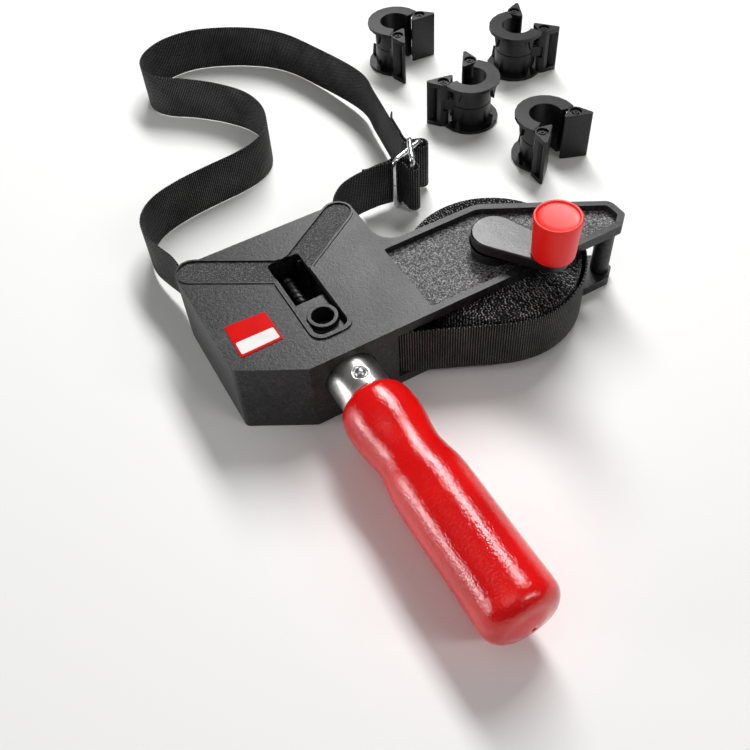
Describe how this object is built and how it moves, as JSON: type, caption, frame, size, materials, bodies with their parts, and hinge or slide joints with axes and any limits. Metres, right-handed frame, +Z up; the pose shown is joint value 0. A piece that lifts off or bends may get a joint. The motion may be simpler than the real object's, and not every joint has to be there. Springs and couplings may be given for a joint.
{
  "type": "band clamp",
  "caption": "Band clamp with a flat housing, screw grip, wound band on a cranked reel under a long arm, hooked band loop and loose corner pieces with swinging jaws.",
  "frame": {"origin": "on the underside of the base plate, on the spindle's axis seen from above, 11 mm behind the housing's front edge", "axes": "+Z up from the bench, +Y forward to the workpiece, away from the grip, +X along the reel's arm"},
  "size_m": [0.2631, 0.3995, 0.0651],
  "materials": {
    "housing": "charcoal moulded plastic, fine grain",
    "dark_plastic": "near-black satin moulded plastic",
    "webbing": "black woven nylon band",
    "red_lacquer": "turned wood under thick red lacquer",
    "red_plastic": "satin red plastic",
    "steel": "machined steel",
    "zinc_wire": "bright plated wire"
  },
  "bodies": {
    "housing": {"upper_shell": "housing", "base_plate": "housing", "shell_screw_front_left": "steel", "shell_screw_side_left": "steel", "shell_screw_rear_left": "steel", "shell_screw_front_right": "steel", "shell_screw_side_right": "steel", "tip_post": "housing", "tip_screw": "steel", "inlet_guide": "steel", "front_guide": "steel", "exit_guide": "steel", "strap_anchor": "steel", "bearing_plate": "steel", "band_run": "webbing", "band_loop": "webbing", "short_strap": "webbing", "loop_ring": "zinc_wire", "strap_hook": "zinc_wire", "corner_a_spool": "dark_plastic", "corner_a_jaw_pin_left": "steel", "corner_a_jaw_pin_right": "steel", "corner_b_spool": "dark_plastic", "corner_b_jaw_pin_left": "steel", "corner_b_jaw_pin_right": "steel", "corner_c_spool": "dark_plastic", "corner_c_jaw_pin_left": "steel", "corner_c_jaw_pin_right": "steel", "corner_d_spool": "dark_plastic", "corner_d_jaw_pin_left": "steel", "corner_d_jaw_pin_right": "steel"},
    "spindle_and_grip": {"spindle": "steel", "thrust_collar": "steel", "ferrule": "steel", "ferrule_pin": "steel", "grip": "red_lacquer"},
    "slider_block": {"slider": "dark_plastic", "cam_pin": "steel", "cam_spring": "steel"},
    "cam": {"band_cam": "steel"},
    "reel": {"reel_drum": "dark_plastic", "crank_bolt": "steel", "crank_lever": "dark_plastic", "knob_pin": "steel", "band_coil": "webbing"},
    "knob": {"crank_knob": "red_plastic"},
    "corner_a_left": {"corner_a_jaw_left": "dark_plastic"},
    "corner_a_right": {"corner_a_jaw_right": "dark_plastic"},
    "corner_b_left": {"corner_b_jaw_left": "dark_plastic"},
    "corner_b_right": {"corner_b_jaw_right": "dark_plastic"},
    "corner_c_left": {"corner_c_jaw_left": "dark_plastic"},
    "corner_c_right": {"corner_c_jaw_right": "dark_plastic"},
    "corner_d_left": {"corner_d_jaw_left": "dark_plastic"},
    "corner_d_right": {"corner_d_jaw_right": "dark_plastic"}
  },
  "joints": [
    {"name": "grip_turn", "type": "hinge", "parent": "housing", "child": "spindle_and_grip", "pos_m": [0, -0.0842, 0.022], "axis": [0, 1, 0], "range_deg": [0, 2400]},
    {"name": "slider_travel", "type": "slide", "parent": "housing", "child": "slider_block", "axis": [0, 1, 0], "range_m": [0, 0.02]},
    {"name": "cam_swing", "type": "hinge", "parent": "slider_block", "child": "cam", "pos_m": [0.0089, -0.0395, 0.0204], "axis": [0, 0, 1], "range_deg": [-10, 0], "stiffness_Nm_per_rad": 0.02},
    {"name": "crank_turn", "type": "hinge", "parent": "housing", "child": "reel", "pos_m": [0.0809, -0.0496, 0.0184], "axis": [0, 0, 1], "continuous": true},
    {"name": "knob_spin", "type": "hinge", "parent": "reel", "child": "knob", "pos_m": [0.09352, -0.07313, 0.055], "axis": [0, 0, 1], "continuous": true},
    {"name": "corner_a_jaw_left_swing", "type": "hinge", "parent": "housing", "child": "corner_a_left", "pos_m": [0.16025, 0.14316, 0.0131], "axis": [0, 0, 1], "range_deg": [-24, 30]},
    {"name": "corner_a_jaw_right_swing", "type": "hinge", "parent": "housing", "child": "corner_a_right", "pos_m": [0.13874, 0.13123, 0.0131], "axis": [0, 0, 1], "range_deg": [-30, 24]},
    {"name": "corner_b_jaw_left_swing", "type": "hinge", "parent": "housing", "child": "corner_b_left", "pos_m": [0.13612, 0.07869, 0.0131], "axis": [0, 0, 1], "range_deg": [-24, 30]},
    {"name": "corner_b_jaw_right_swing", "type": "hinge", "parent": "housing", "child": "corner_b_right", "pos_m": [0.15893, 0.0879, 0.0131], "axis": [0, 0, 1], "range_deg": [-30, 24]},
    {"name": "corner_c_jaw_left_swing", "type": "hinge", "parent": "housing", "child": "corner_c_left", "pos_m": [0.20767, 0.11557, 0.0131], "axis": [0, 0, 1], "range_deg": [-24, 30]},
    {"name": "corner_c_jaw_right_swing", "type": "hinge", "parent": "housing", "child": "corner_c_right", "pos_m": [0.21109, 0.09121, 0.0131], "axis": [0, 0, 1], "range_deg": [-30, 24]},
    {"name": "corner_d_jaw_left_swing", "type": "hinge", "parent": "housing", "child": "corner_d_left", "pos_m": [0.17834, 0.01915, 0.0131], "axis": [0, 0, 1], "range_deg": [-24, 30]},
    {"name": "corner_d_jaw_right_swing", "type": "hinge", "parent": "housing", "child": "corner_d_right", "pos_m": [0.15419, 0.01446, 0.0131], "axis": [0, 0, 1], "range_deg": [-30, 24]}
  ],
  "couplings": [
    {"joint": "slider_travel", "follows": "grip_turn", "m_per_rad": 0.00047746}
  ]
}
